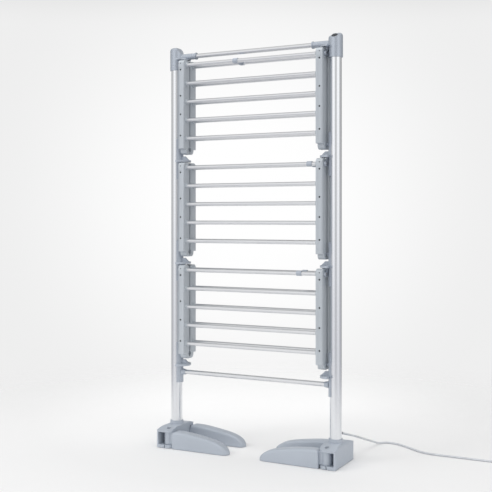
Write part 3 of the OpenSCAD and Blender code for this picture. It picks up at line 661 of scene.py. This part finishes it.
# A leg, seen from the side: distance from its pivot and height of its top, in metres
LEG_TOP = (
    (0.0235, 0.0510), (0.0250, 0.0555), (0.0280, 0.0588), (0.0330, 0.0605), (0.0380, 0.0610),
    (0.0660, 0.0605), (0.1020, 0.0570), (0.1570, 0.0493), (0.1900, 0.0428), (0.2100, 0.0363),
    (0.2250, 0.0283), (0.2350, 0.0203), (0.2420, 0.0133), (0.2450, 0.0090),
)
LEG_HALF_WIDTH = (LEG_HIGH.y - LEG_LOW.y) / 2
LEG_NOSE = 0.020
LEG_ROOT = LEG_TOP[0][0]
LEG_ROOT_ROUND = 0.0025
LEG_NOSE_START = LEG_TOP[-1][0] - LEG_NOSE
LEG_NEAR_STEP = 0.003
LEG_FAR_START = 0.046
LEG_FAR_STEP = 0.012
LEG_LEAST_HALF_WIDTH = 0.0006
LEG_LOWER_EDGE = 0.0012
LEG_FLOOR = LEG_LOW.z
BARREL_RADIUS = LEG_HIGH.x - LEG_PIVOT.x
BARREL_BORE = 0.0051
BARREL_LOW = 0.0125
BARREL_HIGH = 0.0565
BARREL_EDGE = 0.0008
TONGUE_HALF_WIDTH = 0.011
TONGUE_START = 0.008
TONGUE_LAP = 0.002
TONGUE_EDGE = 0.001
TONGUE = ((-LEG_ROOT - TONGUE_LAP, -TONGUE_HALF_WIDTH), (-TONGUE_START, -TONGUE_HALF_WIDTH),
          (-TONGUE_START, TONGUE_HALF_WIDTH), (-LEG_ROOT - TONGUE_LAP, TONGUE_HALF_WIDTH))


def leg_half_width(where):
    """Half the width of a leg, by the distance from its pivot."""
    if where < LEG_ROOT + LEG_ROOT_ROUND:
        gone = LEG_ROOT + LEG_ROOT_ROUND - where
        return LEG_HALF_WIDTH - LEG_ROOT_ROUND + math.sqrt(LEG_ROOT_ROUND ** 2 - gone ** 2)
    slim = (LEG_HALF_WIDTH - LEG_NOSE) * max(0, where - LEG_ROOT) / (LEG_NOSE_START - LEG_ROOT)
    if where <= LEG_NOSE_START:
        return LEG_HALF_WIDTH - slim
    return math.sqrt(max(LEG_NOSE ** 2 - (where - LEG_NOSE_START) ** 2, 0))


def leg_section(bm, where, corner, steps=6):
    """One section across a leg, rounded above and broken below."""
    wide = max(leg_half_width(where), LEG_LEAST_HALF_WIDTH)
    top = smooth_value(LEG_TOP, where)
    upper = min(corner, wide * 0.95, (top - LEG_FLOOR) * 0.7)
    lower = min(LEG_LOWER_EDGE, wide * 0.5)
    ring = []
    for side in (1, -1):
        turns = [(lower, LEG_FLOOR + lower, -90, 0), (upper, top - upper, 0, 90)]
        if side < 0:
            turns = turns[::-1]
        for radius, height, a, b in turns:
            if side < 0:
                a, b = b, a
            for k in range(steps + 1):
                angle = math.radians(a + (b - a) * k / steps)
                ring.append(bm.verts.new((-where, side * (wide - radius + radius * math.cos(angle)),
                                          height + radius * math.sin(angle))))
    return ring


def leg_places():
    """Where along a leg its sections lie, closest together at its root and its nose."""
    quarter = math.pi / 2
    places = [LEG_ROOT + LEG_ROOT_ROUND * 2 * (1 - math.cos(quarter * k / 6)) for k in range(6)]
    places += [LEG_ROOT + LEG_NEAR_STEP * k for k in range(2, 7)]
    places += [LEG_FAR_START + LEG_FAR_STEP * k for k in range(15)]
    places += [LEG_NOSE_START + LEG_NOSE * math.sin(quarter * k / 12) for k in range(13)]
    return places


def barrel(bm, segments=48):
    """The leg's eye round its pin, with broken edges."""
    inner, outer = BARREL_BORE + BARREL_EDGE, BARREL_RADIUS - BARREL_EDGE
    low, high = BARREL_LOW + BARREL_EDGE, BARREL_HIGH - BARREL_EDGE
    profile = [(BARREL_BORE, low), (inner, BARREL_LOW), (outer, BARREL_LOW), (BARREL_RADIUS, low),
               (BARREL_RADIUS, high), (outer, BARREL_HIGH), (inner, BARREL_HIGH),
               (BARREL_BORE, high)]
    rings = turned_rings(bm, profile, Matrix(), segments)
    ring_faces(bm, rings + rings[:1], closed=False)


class AIRER_OT_legs(bpy.types.Operator):
    """Makes the four folding legs, each with its tongue and the barrel round its pin"""

    bl_idname = "airer.legs"
    bl_label = "Legs"

    def execute(self, context):
        corner = context.scene.airer_details.leg_corner
        for side_name, side in SIDES:
            for face_name, face in FACES:
                bm = bmesh.new()
                ring_faces(bm, [leg_section(bm, where, corner) for where in leg_places()])
                rounded_prism(bm, TONGUE, BARREL_LOW, BARREL_HIGH, TONGUE_EDGE)
                barrel(bm)
                turn = Matrix.Diagonal((side, -face, 1, 1))
                pivot = Vector((side * LEG_PIVOT.x, face * abs(LEG_PIVOT.y), 0))
                bmesh.ops.transform(bm, matrix=Matrix.Translation(pivot) @ turn, verts=bm.verts)
                name = side_name + "_" + face_name + "_leg"
                dress(object_from_bmesh(name + "_shell", bm, 35), name, "moulding", "moulding",
                      name)
        return {"FINISHED"}


# The screws of a rail: how far below its pivot, in rung pitches, and where across
COVER_SCREWS_SHARE = (0.27, 1.69, 2.7, 3.85)
COVER_MID_X = 0.26975
HEAD_SCREW_RISE = 0.005
HEAD_SCREW_SINK = 0.002
HEAD_SCREW_SHARE = 0.62

# A screw head from its seat to the floor of its recess: share of its radius, or of the cross,
# share of its height, and whether the ring is the cross
SCREW_RINGS = ((1, 0, False), (1, 0.45, False), (0.9, 0.75, False), (0.74, 0.92, False),
               (1, 1, True), (0.85, 0.25, True))
SCREW_ARM_SHARE = 0.56


def screw_head(diameter, height, sides=24):
    """A domed head with a cross recess, on the plane Z = 0."""
    bm = bmesh.new()
    radius = diameter / 2
    arm = radius * SCREW_ARM_SHARE
    half = arm * math.tan(math.tau / sides)

    def cross(angle):
        along = max(abs(math.cos(angle)), abs(math.sin(angle)))
        across = min(abs(math.cos(angle)), abs(math.sin(angle)))
        return min(arm / along, half / max(across, 1e-6))

    rings = []
    for share, height_share, is_cross in SCREW_RINGS:
        ring = []
        for k in range(sides):
            a = math.tau * k / sides
            reach = share * (cross(a) if is_cross else radius)
            ring.append(bm.verts.new((reach * math.cos(a), reach * math.sin(a),
                                      height * height_share)))
        rings.append(ring)
    ring_faces(bm, rings)
    return object_from_bmesh("screw_head", bm, 35)


def screw_tree():
    """Geometry nodes that set a screw head on every point, each turned at random."""
    tree = bpy.data.node_groups.new("screws_on_points", "GeometryNodeTree")
    sockets = {}
    for name, kind in (("Points", "Geometry"), ("Head", "Object"), ("Turn", "Vector"),
                       ("Finish", "Material")):
        sockets[name] = tree.interface.new_socket(
            name, in_out="INPUT", socket_type="NodeSocket" + kind).identifier
    tree.interface.new_socket("Screws", in_out="OUTPUT", socket_type="NodeSocketGeometry")
    start = add_node(tree, "NodeGroupInput")
    end = add_node(tree, "NodeGroupOutput")
    head = add_node(tree, "GeometryNodeObjectInfo", transform_space="ORIGINAL")
    tree.links.new(start.outputs["Head"], head.inputs["Object"])
    size = add_node(tree, "GeometryNodeInputNamedAttribute", data_type="FLOAT", in_Name="size")
    turn = add_node(tree, "FunctionNodeEulerToRotation")
    tree.links.new(start.outputs["Turn"], turn.inputs["Euler"])
    put = add_node(tree, "GeometryNodeInstanceOnPoints")
    tree.links.new(start.outputs["Points"], put.inputs["Points"])
    tree.links.new(head.outputs["Geometry"], put.inputs["Instance"])
    tree.links.new(turn.outputs["Rotation"], put.inputs["Rotation"])
    tree.links.new(size.outputs["Attribute"], put.inputs["Scale"])
    chance = add_node(tree, "FunctionNodeRandomValue", data_type="FLOAT_VECTOR")
    chance.inputs[1].default_value = (0, 0, math.tau)
    spin = add_node(tree, "GeometryNodeRotateInstances")
    tree.links.new(put.outputs["Instances"], spin.inputs["Instances"])
    tree.links.new(chance.outputs["Value"], spin.inputs["Rotation"])
    real = add_node(tree, "GeometryNodeRealizeInstances")
    tree.links.new(spin.outputs["Instances"], real.inputs["Geometry"])
    paint = add_node(tree, "GeometryNodeSetMaterial")
    tree.links.new(real.outputs["Geometry"], paint.inputs["Geometry"])
    tree.links.new(start.outputs["Finish"], paint.inputs["Material"])
    tree.links.new(paint.outputs["Geometry"], end.inputs["Screws"])
    return tree, sockets


class AIRER_OT_screws(bpy.types.Operator):
    """Sets the small dark screws in the rails of every wing"""

    bl_idname = "airer.screws"
    bl_label = "Screws"

    def execute(self, context):
        details = context.scene.airer_details
        head = screw_head(details.screw_diameter, details.screw_height)
        tree, sockets = screw_tree()
        for tier in TIERS:
            for face_name, face in FACES:
                wing = tier + "_" + face_name
                low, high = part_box(wing + "_covers")
                seat = high.y if face < 0 else low.y
                points = [(side * COVER_MID_X, seat, PIVOT_Z[tier] - share * RUNG_PITCH, 1.0)
                          for share in COVER_SCREWS_SHARE for side in (-1, 1)]
                rail_face = face * abs(RAIL_LOW.y)
                points += [(side * COVER_MID_X, rail_face - face * HEAD_SCREW_SINK,
                            PIVOT_Z[tier] + HEAD_SCREW_RISE, HEAD_SCREW_SHARE) for side in (-1, 1)]
                mesh = bpy.data.meshes.new(wing + "_screws")
                mesh.from_pydata([point[:3] for point in points], [], [])
                sizes = mesh.attributes.new("size", "FLOAT", "POINT")
                sizes.data.foreach_set("value", [point[3] for point in points])
                made = new_object(wing + "_screws", mesh)
                nodes = made.modifiers.new("screws", "NODES")
                nodes.node_group = tree
                nodes[sockets["Head"]] = head
                nodes[sockets["Turn"]] = (-face * math.pi / 2, 0.0, 0.0)
                nodes[sockets["Finish"]] = materials()["screw"]
                plain_mesh(made)
                if not made.data.polygons:
                    raise RuntimeError("no screws were made for " + wing)
                dress(made, wing + "_wing", "pin", "screw")
        bpy.data.objects.remove(head)
        return {"FINISHED"}


# The moulded pieces whose edges are rounded, by how their names end
MOULDED = ("_hub", "_cap", "_bracket", "_rail", "_tie_clip")
MERGE_DISTANCE = 1e-6
FLAT_ANGLE = math.radians(0.5)
EDGE_ANGLE = math.radians(35)


class AIRER_OT_shells(bpy.types.Operator):
    """Rounds the edges of the moulded hubs, caps, brackets and rails"""

    bl_idname = "airer.shells"
    bl_label = "Moulded shells"

    def execute(self, context):
        width = context.scene.airer_details.edge_round
        for name in sorted(frame["nodes"]):
            if name.endswith(MOULDED):
                soften(name, width)
        return {"FINISHED"}


def soften(name, width):
    """A copy of a frame node with rounded edges, which stands for the node."""
    node = frame["nodes"][name]
    bm = bmesh.new()
    bm.from_mesh(node.data)
    bmesh.ops.remove_doubles(bm, verts=bm.verts, dist=MERGE_DISTANCE)
    bmesh.ops.dissolve_limit(bm, angle_limit=FLAT_ANGLE, verts=bm.verts, edges=bm.edges,
                             use_dissolve_boundaries=False)
    made = object_from_bmesh(name + "_shell", bm, 30)
    made.data.materials.clear()
    edges = made.modifiers.new("edges", "BEVEL")
    edges.width = width
    edges.segments = 2
    edges.limit_method = "ANGLE"
    edges.angle_limit = EDGE_ANGLE
    edges.harden_normals = True
    edges.miter_outer = "MITER_ARC"
    plain_mesh(made)
    finish = "cap" if name.endswith("_cap") else "rail" if name.endswith("_rail") else "moulding"
    dress(made, node["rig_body"], "moulding", finish, name)


# Profile of the button, as shares of its radius and of its height
BUTTON_SHARES = (
    (0.95, 0.0), (1.0, 0.06), (1.0, 0.90), (0.97, 0.965), (0.90, 1.0), (0.82, 0.995),
    (0.60, 0.965), (0.30, 0.945), (0.04, 0.94),
)


class AIRER_OT_button(bpy.types.Operator):
    """Makes the push button on the right cap, with a dished top and a fine ring"""

    bl_idname = "airer.button"
    bl_label = "Button"

    def execute(self, context):
        press = next(joint for joint in frame["joints"] if joint["child"] == "power_button")
        out = -Vector(press["axis"])
        radius = (BUTTON_HIGH.x - BUTTON_LOW.x) / 2
        tall = (BUTTON_HIGH.z - BUTTON_LOW.z - 2 * radius * abs(out.y)) / out.z
        foot = (BUTTON_LOW + BUTTON_HIGH) / 2 - out * tall / 2
        place = Matrix.Translation(foot) @ out.to_track_quat("Z", "Y").to_matrix().to_4x4()
        bm = bmesh.new()
        lathe(bm, [(share * radius, rise * tall) for share, rise in BUTTON_SHARES], place, 64)
        dress(object_from_bmesh("button_top", bm, 35), "power_button", "button", "button",
              "power_button")
        return {"FINISHED"}


# The finish of a frame piece, by how its name ends: any other piece is moulded
FINISHES = (
    ("_covers", "cover"), ("_rungs", "rung"), ("_bar", "rung"), ("_post", "post"),
    ("_heaters", "wire"), ("_pins", "pin"), ("power_button", "button"), ("hub_pads", "pad"),
    ("strain_relief", "pad"), ("cord_run", "cord"), ("cord_coil", "cord"),
)


class AIRER_OT_frame_finish(bpy.types.Operator):
    """Gives every frame piece its plastic, aluminium, rubber or steel"""

    bl_idname = "airer.frame_finish"
    bl_label = "Frame finish"

    def execute(self, context):
        for name, node in frame["nodes"].items():
            finish = next((finish for end, finish in FINISHES if name.endswith(end)), "moulding")
            for slot in node.material_slots:
                slot.material = materials()[finish]
        return {"FINISHED"}


# Place, target and size of each lamp, in metres
KEY_LAMP = ((-2.4, -2.9, 2.9), (0, 0, 0.8), 1.6)
TOP_LAMP = ((0, 0, 4), (0, 0, 0), 3.2)


class AIRER_OT_stage(bpy.types.Operator):
    """Sets the floor, the background and the soft light"""

    bl_idname = "airer.stage"
    bl_label = "Stage"

    def execute(self, context):
        stage = context.scene.airer_stage
        scene = context.scene
        scene.view_settings.view_transform = "Standard"
        make_floor(stage.floor_radius)
        make_world(scene)
        add_lamp("key_lamp", *KEY_LAMP, stage.key_power)
        add_lamp("top_lamp", *TOP_LAMP, stage.top_power)
        return {"FINISHED"}


def add_lamp(name, place, target, size, power):
    """A round lamp that looks at its target."""
    data = bpy.data.lights.new(name, "AREA")
    data.shape = "DISK"
    data.size = size
    data.energy = power
    lamp = new_object(name, data)
    lamp.location = place
    # The soft boxes of the world are what the tubes mirror
    lamp.visible_glossy = False
    way = Vector(target) - Vector(place)
    lamp.rotation_euler = way.to_track_quat("-Z", "Y").to_euler()


def ramp_between(tree, value, start, end, low=0.0, high=1.0):
    """A soft step of a value, from low at its start to high at its end."""
    made = add_node(tree, "ShaderNodeMapRange", interpolation_type="SMOOTHSTEP",
                    in_1=start, in_2=end, in_3=low, in_4=high)
    tree.links.new(value, made.inputs[0])
    return made.outputs[0]


def measure(tree, value, operation, other=None):
    """Length of a vector, or its distance from another."""
    made = add_node(tree, "ShaderNodeVectorMath", operation=operation)
    tree.links.new(value, made.inputs[0])
    if other:
        made.inputs[1].default_value = other
    return made.outputs["Value"]


# Where the floor starts and ends to fade, as shares of its radius, and how far behind the
# object its painted pool of light is palest, in metres
FADE_SHARES = (0.35, 0.98)
LIGHT_POOL_BACK = 1.3


def make_floor(radius):
    """A pale disc that fades out, so that only the object's surroundings and shadow show, with a
    painted pool of light that is palest behind the object.
    """
    bm = bmesh.new()
    bmesh.ops.create_circle(bm, cap_ends=True, segments=96, radius=radius)
    floor = object_from_bmesh("floor", bm)
    material, tree, shader, place = blank_material("floor_painted_light")
    shader.inputs["Roughness"].default_value = 0.9
    tree.links.new(ramp_between(tree, measure(tree, place, "LENGTH"), radius * FADE_SHARES[0],
                                radius * FADE_SHARES[1], 1.0, 0.0), shader.inputs["Alpha"])
    # Painted pool of light: the floor's colour is palest behind the object, as the background is
    turn = bpy.context.scene.airer_stage.camera_turn
    light_pool = add_node(tree, "ShaderNodeMapping", vector_type="TEXTURE", in_Rotation=(0, 0, turn),
                    in_Location=(-LIGHT_POOL_BACK * math.sin(turn), LIGHT_POOL_BACK * math.cos(turn), 0),
                    in_Scale=(0.6, 1, 1))
    tree.links.new(place, light_pool.inputs["Vector"])
    gap = measure(tree, light_pool.outputs["Vector"], "LENGTH")
    # Painted light: the floor's colour goes from 0.96 at the pool's middle down to 0.84 away from it
    tree.links.new(shades(tree, span(tree, gap, 0.0, 1.0, 0.7, 1.7), (1, 1, 1), 0.96, 0.84),
                   shader.inputs["Base Color"])
    floor.data.materials.append(material)


# Brightness round the horizon, from the left of the camera to its right, for soft boxes and gaps
HORIZON = (
    (0.000, 0.86), (0.052, 0.86), (0.085, 0.50), (0.167, 0.50), (0.230, 0.62), (0.300, 0.82),
    (0.355, 1.18), (0.400, 1.20), (0.440, 0.85), (0.475, 0.62), (0.495, 0.48), (0.515, 0.62),
    (0.560, 1.00), (0.600, 1.22), (0.630, 1.20), (0.687, 0.78), (0.756, 0.50), (0.840, 0.38),
    (0.920, 0.42), (0.948, 0.86), (1.000, 0.86),
)
CEILING = (0.86, 0.86, 0.86)
DIM_BAND = (0.35, 0.35, 0.35)
ROOM_FLOOR = (0.50, 0.505, 0.555)
WHITE = (1.0, 1.0, 1.0)
WHITE_CENTRE = (0.0, 0.9997, 0.025)


def product(tree, a, b):
    """One value times another."""
    made = add_node(tree, "ShaderNodeMath", operation="MULTIPLY")
    tree.links.new(a, made.inputs[0])
    tree.links.new(b, made.inputs[1])
    return made.outputs["Value"]


def cover_with(tree, under, colour, share):
    """Lays a colour over what is under it, by a share."""
    made = add_node(tree, "ShaderNodeMix", data_type="RGBA")
    made.inputs["B"].default_value = (*colour, 1)
    tree.links.new(share, made.inputs["Factor"])
    tree.links.new(under, made.inputs["A"])
    return made.outputs["Result"]


def make_world(scene):
    """Soft boxes round the object, and a pale background that is whitest behind its middle."""
    world = bpy.data.worlds.new("studio")
    world.use_nodes = True
    tree = world.node_tree
    tree.nodes.clear()
    scene.world = world
    out = add_node(tree, "ShaderNodeOutputWorld")
    light = add_node(tree, "ShaderNodeBackground")
    tree.links.new(light.outputs["Background"], out.inputs["Surface"])
    place = add_node(tree, "ShaderNodeTexCoord")
    turn = scene.airer_stage.camera_turn
    # Turned so that +Y points from the camera through the object
    view = add_node(tree, "ShaderNodeMapping", vector_type="TEXTURE", in_Rotation=(0, 0, turn))
    tree.links.new(place.outputs["Generated"], view.inputs["Vector"])
    parts = add_node(tree, "ShaderNodeSeparateXYZ")
    tree.links.new(view.outputs["Vector"], parts.inputs["Vector"])
    angle = add_node(tree, "ShaderNodeMath", operation="ARCTAN2")
    tree.links.new(parts.outputs["X"], angle.inputs[0])
    back = add_node(tree, "ShaderNodeMath", operation="MULTIPLY", in_1=-1.0)
    tree.links.new(parts.outputs["Y"], back.inputs[0])
    tree.links.new(back.outputs["Value"], angle.inputs[1])
    share = add_node(tree, "ShaderNodeMapRange", in_1=-math.pi, in_2=math.pi, in_3=0.0, in_4=1.0)
    tree.links.new(angle.outputs["Value"], share.inputs[0])
    ramp = add_node(tree, "ShaderNodeValToRGB")
    ramp.color_ramp.interpolation = "EASE"
    stops = ramp.color_ramp.elements
    while len(stops) < len(HORIZON):
        stops.new(0.5)
    for stop, (where, shade) in zip(stops, HORIZON):
        stop.position = where
        stop.color = (shade, shade, shade, 1)
    tree.links.new(share.outputs[0], ramp.inputs["Fac"])
    height, depth = parts.outputs["Z"], parts.outputs["Y"]
    # Above, the soft boxes give way to a bright ceiling
    sky = cover_with(tree, ramp.outputs["Color"], CEILING, ramp_between(tree, height, 0.24, 0.65))
    # A dim band high behind the object, which draws the upper edges of the rungs
    sky = cover_with(tree, sky, DIM_BAND, product(tree, ramp_between(tree, height, 0.20, 0.34),
                                                  ramp_between(tree, depth, 0.25, 0.55)))
    # Below and in front, the dimmer floor of the room
    sky = cover_with(tree, sky, ROOM_FLOOR,
                     product(tree, ramp_between(tree, height, -0.35, 0.12, 1.0, 0.0),
                             ramp_between(tree, depth, 0.3, 0.8, 1.0, 0.0)))
    # The white centre of the background
    gap = measure(tree, view.outputs["Vector"], "DISTANCE", WHITE_CENTRE)
    sky = cover_with(tree, sky, WHITE, ramp_between(tree, gap, 0.05, 0.30, 1.0, 0.0))
    tree.links.new(sky, light.inputs["Color"])


class AIRER_PT_panel(bpy.types.Panel):
    """Lists the pieces of the airer"""

    bl_idname = "AIRER_PT_panel"
    bl_label = "Heated clothes airer"
    bl_space_type = "VIEW_3D"
    bl_region_type = "UI"
    bl_category = "Airer"

    def draw(self, context):
        for group in ("airer_finish", "airer_details", "airer_stage"):
            settings = getattr(context.scene, group)
            for name in settings.__annotations__:
                self.layout.prop(settings, name)
        for step in STEPS:
            self.layout.operator("airer." + step)


CLASSES = (AirerFinish, AirerDetails, AirerStage, AIRER_OT_camera, AIRER_OT_cord,
           AIRER_OT_plug, AIRER_OT_relief, AIRER_OT_legs, AIRER_OT_screws, AIRER_OT_shells,
           AIRER_OT_button, AIRER_OT_frame_finish, AIRER_OT_stage, AIRER_PT_panel)
STEPS = ("camera", "plug", "cord", "relief", "legs", "screws", "shells", "button",
         "frame_finish", "stage")
GROUPS = (("airer_finish", AirerFinish), ("airer_details", AirerDetails),
          ("airer_stage", AirerStage))


def register():
    for made in CLASSES:
        bpy.utils.register_class(made)
    for name, group in GROUPS:
        setattr(bpy.types.Scene, name, bpy.props.PointerProperty(type=group))


def unregister():
    for name, _ in GROUPS:
        delattr(bpy.types.Scene, name)
    for made in reversed(CLASSES):
        bpy.utils.unregister_class(made)


def main():
    register()
    for step in STEPS:
        getattr(bpy.ops.airer, step)()


if __name__ == "__main__":
    main()
